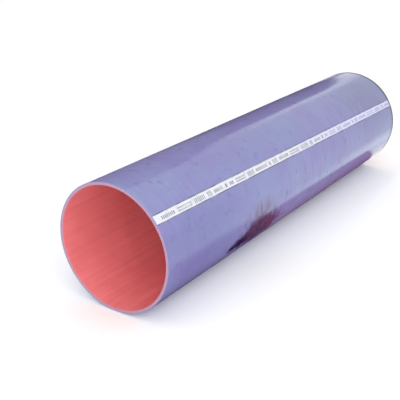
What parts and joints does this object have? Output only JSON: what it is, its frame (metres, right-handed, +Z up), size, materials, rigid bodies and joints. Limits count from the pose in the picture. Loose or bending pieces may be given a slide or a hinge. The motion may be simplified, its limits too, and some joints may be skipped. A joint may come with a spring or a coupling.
{
  "type": "silicone hose",
  "caption": "Straight length of large-bore silicone hose with a blue outer cover over a red lined wall, cut square to slip over pipe stubs and be clamped.",
  "frame": {"origin": "on the floor, under the middle of the hose's length", "axes": "+X along the hose axis, from the end nearer the camera in the picture to the far end; +Z up"},
  "size_m": [0.64, 0.16, 0.1599],
  "materials": {
    "red_silicone": "matt silicone rubber on fabric plies, smooth mandrel-moulded bore and knife-cut ends",
    "blue_silicone": "satin violet-blue silicone rubber with faint wrap marks and a white printed line along the hose"
  },
  "bodies": {
    "root": {"inner_liner": "red_silicone", "outer_cover": "blue_silicone"}
  },
  "joints": []
}
